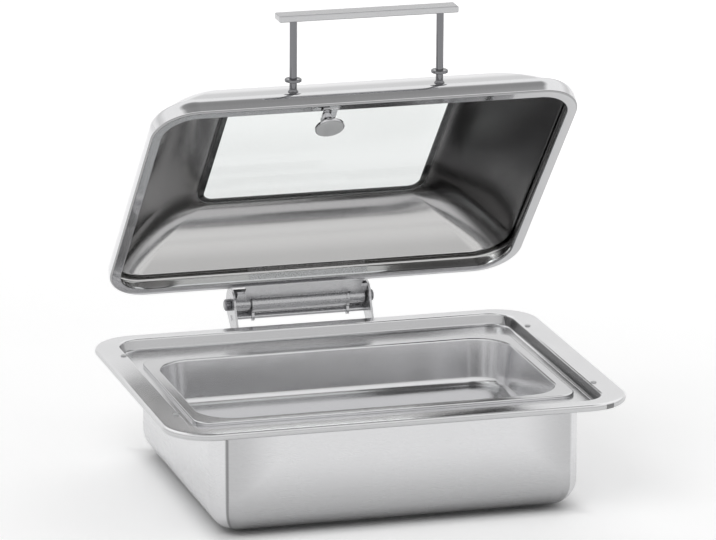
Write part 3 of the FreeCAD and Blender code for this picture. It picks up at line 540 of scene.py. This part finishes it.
sections = [lid_ring(LID_LIP + inset, height) for inset, height in LID_HEM]
sections += [lid_ring(*point) for point in bend(LIP_RADIUS, LIP_RADIUS, LIP_RADIUS, -90, 0, LIP_STEPS)]
for step in range(SHOULDER_STEPS + 1):
    angle = math.radians(90 * step / SHOULDER_STEPS)
    drop = SHOULDER_DROP * (1 - math.sin(angle))
    rise = max(BACK_SHOULDER - drop, 0.0)
    back_inset = BACK_SHOULDER - math.sqrt(BACK_SHOULDER ** 2 - rise ** 2)
    sections.append(lid_ring(SHOULDER_RUN * (1 - math.cos(angle)), LID_RIM - drop, back_inset))
sections += [lid_ring(inset, LID_RIM + height) for inset, height in DOME_ROOT]
sections += [dome_ring(DOME_START + (1 - DOME_START) * step / DOME_STEPS) for step in range(DOME_STEPS + 1)]
sections += [window_ring(WINDOW_BORDER), window_ring(0.0)]
lid_mesh = bmesh.new()
skin(lid_mesh, sections)
lid = make("lid_dome", lid_mesh, (0, 0, 1), sheet=LID_SHEET)
lid.data.transform(OPEN)
lid.modifiers["sheet"].material_offset = 1

# Painted reflections on the lid's outside: the height and half width of each thin dark line, and how dark it
# is painted.
LIP_LINE = LID_BASE + 0.0012, 0.0016
ROOT_LINE = LID_BASE + LID_RIM + 0.0012, 0.0022
LINE_CORE = 0.4
LINE_SHADE = 0.75
# Painted shade inside the lid: the end walls are painted darker from the mitre up, the right one most.
MITRE_SHADE = -0.16, 0.10
LEFT_TO_RIGHT = {"From Min": -0.05, "From Max": 0.05, "To Min": 0.62, "To Max": 1.0}


def on_shut_lid(place):
    """Where a place on the open lid lies when the lid is shut."""
    moved = HINGE - Matrix.Rotation(OPEN_ANGLE, 3, "X") @ HINGE
    return place.node("Mapping", {}, {"Vector": place, "Location": moved, "Rotation": (OPEN_ANGLE, 0.0, 0.0)})


def lid_shade(place):
    """Painted reflections: a thin dark line is painted along the lip, and another where the dome leaves the
    rim.
    """
    level = on_shut_lid(place).along("Z")
    lip, root = [abs(level - middle).fade(half * LINE_CORE, half, LINE_SHADE, 0.0)
                 for middle, half in (LIP_LINE, ROOT_LINE)]
    return lip + root


def inside_shade(place):
    """Painted shade and dark reflections inside: the end walls are painted darker than the back wall, from
    the mitre where they meet to the window, and the right one most."""
    shut = on_shut_lid(place)
    across = shut.along("X")
    up_end = (abs(across) - (LID_WIDTH / 2 - DOME_LAND - DOME_RUN)) * (1 / DOME_RUN)
    up_back = (shut.along("Y") - (LID_BACK - DOME_LAND - DOME_BACK_RUN)) * (1 / DOME_BACK_RUN)
    end_wall = (up_end - up_back.most(0.0)).fade(*MITRE_SHADE)
    return end_wall * across.node("MapRange", {}, {"Value": across, **LEFT_TO_RIGHT})


lid_steel = steel("lid_steel", (0.77, 0.77, 0.78), roughness=0.07, grain=(500.0, 500.0, 50.0), depth=0.04,
                  wave=0.18, tilt=OPEN_ANGLE, shade=lid_shade, deepest=0.3)
lid_inside = steel("lid_inside", (0.60, 0.595, 0.59), roughness=0.15, grain=(420.0, 9.0, 420.0), depth=0.30,
                   wave=0.10, tilt=OPEN_ANGLE, shade=inside_shade, deepest=0.17)
lid.data.materials.append(lid_steel)
lid.data.materials.append(lid_inside)
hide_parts("lid_shell")
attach(lid, "lid")

# Window: a pane of clear tempered glass. It is bonded under the lid's flat top through a gasket of
# black silicone.
GLASS_COLOUR = (0.67, 0.685, 0.68, 1.0)
GLASS_INDEX = 1.47
GLASS_SMEARS = 11.0
GLASS_ROUGHNESS = 0.03
window_glass, place, shader = plain_material("window_glass")
(place.noise(GLASS_SMEARS, detail=4.0) * GLASS_ROUGHNESS).feeds(shader, "Roughness")
shader.inputs["Base Color"].default_value = GLASS_COLOUR
shader.inputs["Transmission Weight"].default_value = 1.0
shader.inputs["IOR"].default_value = GLASS_INDEX
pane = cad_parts["glass_pane"]
pane.data.materials.clear()
pane.data.materials.append(window_glass)

FLAT_ANGLE = math.radians(0.4)
MOULD_DARK, MOULD_LIGHT = 0.82, 1.15
MOULD_MOTTLE = 35.0
MOTTLE_ROUGHENS, GRIT_ROUGHENS = 0.2, 0.1


def dressed(node, name, material, body, edge=0.0003):
    """A copy of a machined piece's mesh, with its flat faces made whole and its sharp edges broken."""
    mesh = bmesh.new()
    mesh.from_mesh(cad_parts[node].data)
    bmesh.ops.remove_doubles(mesh, verts=mesh.verts, dist=MERGE_DISTANCE)
    bmesh.ops.dissolve_limit(mesh, angle_limit=FLAT_ANGLE, verts=mesh.verts, edges=mesh.edges)
    piece = make(name, mesh, (0, 0, 1), edge=edge)
    piece.data.materials.append(material)
    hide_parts(node)
    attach(piece, body)


def moulded(name, colour, roughness, fine, relief):
    """Moulded stuff: an even colour with a slight mottle, and a fine grit of some relief on its skin."""
    material, place, shader = plain_material(name)
    mottle, grit = place.noise(MOULD_MOTTLE, detail=3.0), place.noise(fine, detail=2.0)
    tone = mottle.mixes(times(colour, MOULD_DARK), times(colour, MOULD_LIGHT))
    rough = (mottle - MEAN) * MOTTLE_ROUGHENS + (grit - MEAN) * GRIT_ROUGHENS + roughness
    surface(shader, tone, rough, grit * relief)
    return material


black_silicone = moulded("black_silicone", (0.035, 0.035, 0.036), roughness=0.55, fine=900.0, relief=0.00002)
dressed("window_gasket", "gasket_ring", black_silicone, "lid", edge=0.0004)

# Handle posts: two turned rods of bright steel, square to the dome's front wall. Each stands on a flared
# foot, wears a round collar just above it, and is held by a screw from inside the lid.
POST_RADIUS = 0.005
POST_LENGTH = 0.098
POST_SPACING = 0.203
POST_INSET = 0.018
POST_BORE = 0.0025
POST_CHAMFER = 0.0003
FOOT_RADIUS = 0.007
FOOT_HEIGHT = 0.004
FOOT_LIFT = 0.0001
FOOT_FLARE = [(0.0064, 0.0014), (0.0058, 0.0021), (0.0054, 0.0029), (0.0052, 0.0036)]
FOOT_EDGE = 0.0008
SCREW_DEPTH = 0.014
STUD_DEPTH = 0.010
COLLAR_RADIUS = 0.0115
COLLAR_FROM = 0.014
COLLAR_THICKNESS = 0.004
COLLAR_ROUND = 0.0012
COLLAR_STEPS = 4
TURNED_STEPS = 56
UPRIGHT = Vector((0, 0, 1))

post_share = (POST_INSET - DOME_LAND) / DOME_RUN
post_slope = math.atan(2 * (DOME_TOP - LID_RIM) / DOME_RUN * (1 - post_share))
post_axis = Vector((0.0, -math.sin(post_slope), math.cos(post_slope)))
wall_axis = Vector((0.0, math.cos(post_slope), math.sin(post_slope)))
feet = [Vector((across, LID_FRONT + POST_INSET, LID_BASE + LID_RIM + dome_rise(post_share)))
        for across in (-POST_SPACING / 2, POST_SPACING / 2)]


def turned(mesh, outline, foot, axis):
    """Spins an outline of (radius, height) points about an axis that starts at foot."""
    before = set(mesh.verts)
    chain = [mesh.verts.new((radius, 0.0, height)) for radius, height in outline]
    edges = [mesh.edges.new(pair) for pair in zip(chain, chain[1:])]
    bmesh.ops.spin(mesh, geom=chain + edges, cent=(0, 0, 0), axis=UPRIGHT, dvec=(0, 0, 0),
                   angle=2 * math.pi, steps=TURNED_STEPS, use_merge=True, use_duplicate=False)
    place = Matrix.Translation(foot) @ UPRIGHT.rotation_difference(axis).to_matrix().to_4x4()
    bmesh.ops.transform(mesh, matrix=place, verts=[v for v in mesh.verts if v not in before])


def on_lid(piece, material, node):
    """A piece drawn on the shut lid, stored open as the lid is."""
    piece.data.transform(OPEN)
    piece.data.materials.append(material)
    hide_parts(node)
    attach(piece, "lid")


screw_end, stud_end = FOOT_HEIGHT + SCREW_DEPTH, POST_LENGTH - STUD_DEPTH
post_outline = [(0.0, screw_end), (POST_BORE, screw_end), (POST_BORE, FOOT_HEIGHT),
                (POST_RADIUS - POST_CHAMFER, FOOT_HEIGHT), (POST_RADIUS, FOOT_HEIGHT + POST_CHAMFER),
                (POST_RADIUS, POST_LENGTH), (POST_BORE, POST_LENGTH), (POST_BORE, stud_end), (0.0, stud_end)]
foot_outline = [(POST_BORE, FOOT_LIFT), (FOOT_RADIUS, FOOT_LIFT), (FOOT_RADIUS, FOOT_EDGE)] + FOOT_FLARE
foot_outline += [(FOOT_FLARE[-1][0], FOOT_HEIGHT), (POST_BORE, FOOT_HEIGHT), (POST_BORE, FOOT_LIFT)]
collar_top, collar_middle = COLLAR_FROM + COLLAR_THICKNESS, COLLAR_RADIUS - COLLAR_ROUND
collar_outline = [(POST_RADIUS, COLLAR_FROM)]
collar_outline += bend(collar_middle, COLLAR_FROM + COLLAR_ROUND, COLLAR_ROUND, 270, 180, COLLAR_STEPS)
collar_outline += bend(collar_middle, collar_top - COLLAR_ROUND, COLLAR_ROUND, 180, 90, COLLAR_STEPS)
collar_outline += [(POST_RADIUS, collar_top), (POST_RADIUS, COLLAR_FROM)]
bright_chrome = steel("bright_chrome", (0.21, 0.21, 0.22), roughness=0.10, grain=(300.0, 300.0, 900.0),
                      depth=0.03)
turnings = [("turned_post_left", "handle_post_left", post_outline, feet[:1], 0.0),
            ("turned_post_right", "handle_post_right", post_outline, feet[1:], 0.0),
            ("post_feet", "handle_rosettes", foot_outline, feet, 0.0002),
            ("post_collars", "handle_collars", collar_outline, feet, 0.0)]
for name, node, outline, places, edge in turnings:
    turned_mesh = bmesh.new()
    for foot in places:
        turned(turned_mesh, outline, foot, post_axis)
    on_lid(make(name, turned_mesh, post_axis, edge=edge), bright_chrome, node)

# Handle bar: a flat bar of satin steel with eased edges, drawn lengthwise. It sits on a stud in the top
# of each post.
BAR_LENGTH = 0.248
BAR_WIDTH = 0.026
BAR_THICKNESS = 0.009
BAR_EDGE = 0.002
BAR_EDGE_STEPS = 4
bar_mesh = bmesh.new()
bar_verts = bmesh.ops.create_cube(bar_mesh, size=1.0)["verts"]
bmesh.ops.scale(bar_mesh, vec=(BAR_LENGTH, BAR_WIDTH, BAR_THICKNESS), verts=bar_verts)
bmesh.ops.bevel(bar_mesh, geom=list(bar_mesh.edges), offset=BAR_EDGE, offset_type="OFFSET",
                segments=BAR_EDGE_STEPS, profile=0.5, affect="EDGES", material=-1)
bar_turn = Matrix((Vector((1, 0, 0)), wall_axis, post_axis)).transposed().to_4x4()
bar_middle = (feet[0] + feet[1]) / 2 + post_axis * (POST_LENGTH + BAR_THICKNESS / 2)
bmesh.ops.transform(bar_mesh, matrix=Matrix.Translation(bar_middle) @ bar_turn, verts=bar_mesh.verts)
handle_steel = steel("handle_steel", (0.57, 0.57, 0.58), roughness=0.26, grain=(14.0, 1500.0, 1500.0),
                     depth=0.2, tilt=OPEN_ANGLE - post_slope)
on_lid(make("satin_bar", bar_mesh, post_axis, edge=0.0), handle_steel, "handle_bar")

# Handle fixings: a pan-head screw with a soft washer under it inside the lid, and a plain stud in the
# top of each post. Screws and studs are plain bright steel, the washers black silicone.
fastener_steel = steel("fastener_steel", (0.60, 0.60, 0.61), roughness=0.20, grain=(900.0, 900.0, 900.0),
                       depth=0.08)
dressed("handle_screws", "pan_head_screws", fastener_steel, "lid", edge=0.0)
dressed("handle_bar_studs", "bar_studs", fastener_steel, "lid", edge=0.0)
dressed("handle_washers", "screw_washers", black_silicone, "lid", edge=0.0002)

# Bumper: a flat spun cup of bright steel, on a neck and a strap under the lid's front lip, with a moulded
# grey pad that lands on the deck when the lid is shut.
BUMPER_X = -0.058
BUMPER_SETBACK = 0.033
BUMPER_RADIUS = 0.020
BUMPER_NECK = 0.006
BUMPER_FILLET = 0.0025
BUMPER_SKIRT = 0.0042
BUMPER_ROUND = 0.0014
BUMPER_STEPS = 6
CUP_SHEET = 0.0015
CUP_EDGE = 0.0004
CUP_BORE_EDGE = 0.0003
PAD_THICKNESS = 0.004
PAD_PROUD = 0.001
PAD_FOOT = [(0.0, 0.0008), (-0.0002, 0.0003), (-0.0008, 0.0)]
STRAP_SHEET = 0.0012
SHUT_GAP = 0.0003

bumper_middle = Vector((BUMPER_X, LID_FRONT + BUMPER_SETBACK, 0.0))
pad_radius = BUMPER_RADIUS - CUP_SHEET
cup_top, cup_low = LID_BASE - STRAP_SHEET, DECK_TOP + SHUT_GAP + PAD_PROUD
pad_low = cup_low - PAD_PROUD
pad_top = pad_low + PAD_THICKNESS
disc_top = cup_low + BUMPER_SKIRT
cup_outline = [(0.0, cup_top), (BUMPER_NECK, cup_top)]
cup_outline += bend(BUMPER_NECK + BUMPER_FILLET, disc_top + BUMPER_FILLET, BUMPER_FILLET, 0, -90,
                    BUMPER_STEPS)
cup_outline += bend(BUMPER_RADIUS - BUMPER_ROUND, disc_top - BUMPER_ROUND, BUMPER_ROUND, 90, 180,
                    BUMPER_STEPS)
cup_outline += [(BUMPER_RADIUS, cup_low + CUP_EDGE), (BUMPER_RADIUS - CUP_EDGE, cup_low),
                (pad_radius + CUP_BORE_EDGE, cup_low), (pad_radius, cup_low + CUP_BORE_EDGE),
                (pad_radius, pad_top), (0.0, pad_top)]
cup_mesh = bmesh.new()
turned(cup_mesh, cup_outline, bumper_middle, UPRIGHT)
cup_steel = steel("cup_steel", (0.62, 0.62, 0.63), roughness=0.12, grain=(300.0, 300.0, 300.0), depth=0.03)
on_lid(make("spun_cup", cup_mesh, UPRIGHT, edge=0.0), cup_steel, "bumper_cup")
pad_outline = [(0.0, pad_top), (pad_radius, pad_top)]
pad_outline += [(pad_radius + out, pad_low + up) for out, up in PAD_FOOT] + [(0.0, pad_low)]
pad_mesh = bmesh.new()
turned(pad_mesh, pad_outline, bumper_middle, UPRIGHT)
grey_silicone = moulded("grey_silicone", (0.56, 0.565, 0.57), roughness=0.6, fine=700.0, relief=0.00002)
on_lid(make("landing_pad", pad_mesh, -UPRIGHT, edge=0.0), grey_silicone, "bumper_pad")
dressed("bumper_strap", "cup_strap", lid_steel, "lid")

# Rim pads: four small round studs, moulded in the same grey silicone. They sit on the rim's land, and the
# shut lid rests on them.
dressed("rim_pads", "rest_pads", grey_silicone, "base")

# Sandwich base: an aluminium core that spreads the heat. It lies under the body and is closed by
# a steel cap, the flat face that the dish stands on.
mill_aluminium = steel("mill_aluminium", (0.66, 0.66, 0.67), roughness=0.35, grain=(30.0, 900.0, 900.0),
                       depth=0.2)
dressed("base_core", "heat_core", mill_aluminium, "base", edge=0.0)
dressed("base_cap", "steel_cap", satin_steel, "base")

# Hinge, fixed half: a folded bracket of satin plate behind the body, on welded studs with hexagon nuts.
# It carries a bush in each cheek, the stop rod, the damper barrel with its caps, and a curved cover.
hinge_steel = steel("hinge_steel", (0.58, 0.58, 0.59), roughness=0.27, grain=(900.0, 22.0, 900.0), depth=0.2)
bush_plastic = moulded("bush_plastic", (0.05, 0.05, 0.052), roughness=0.45, fine=500.0, relief=0.00001)
dressed("hinge_bracket", "folded_bracket", hinge_steel, "base", edge=0.0005)
dressed("bracket_studs", "weld_studs", fastener_steel, "base")
dressed("bracket_nuts", "hexagon_nuts", fastener_steel, "base", edge=0.0004)
dressed("hinge_bushes", "flanged_bushes", bush_plastic, "base")
dressed("damper_barrel", "damper_tube", hinge_steel, "base")
dressed("damper_caps", "damper_ends", hinge_steel, "base", edge=0.0004)
dressed("stop_rod", "riveted_rod", fastener_steel, "base", edge=0.0002)
dressed("hinge_cover", "curved_cover", hinge_steel, "base")

# Hinge, turning half: an angle plate on the back of the lid, screwed through to a plate inside, with
# two knuckles fixed on the pin. The pin's ends wear bright caps outside the cheeks.
dressed("lid_hinge_plate", "angle_plate", hinge_steel, "lid", edge=0.0005)
dressed("lid_backing_plate", "inside_plate", hinge_steel, "lid", edge=0.0004)
dressed("hinge_plate_screws", "socket_screws", fastener_steel, "lid", edge=0.0002)
dressed("hinge_pin", "ground_pin", fastener_steel, "lid")
dressed("hinge_pin_caps", "pin_end_caps", bright_chrome, "lid", edge=0.0002)
dressed("hinge_washers", "spacer_washers", bush_plastic, "lid", edge=0.0001)
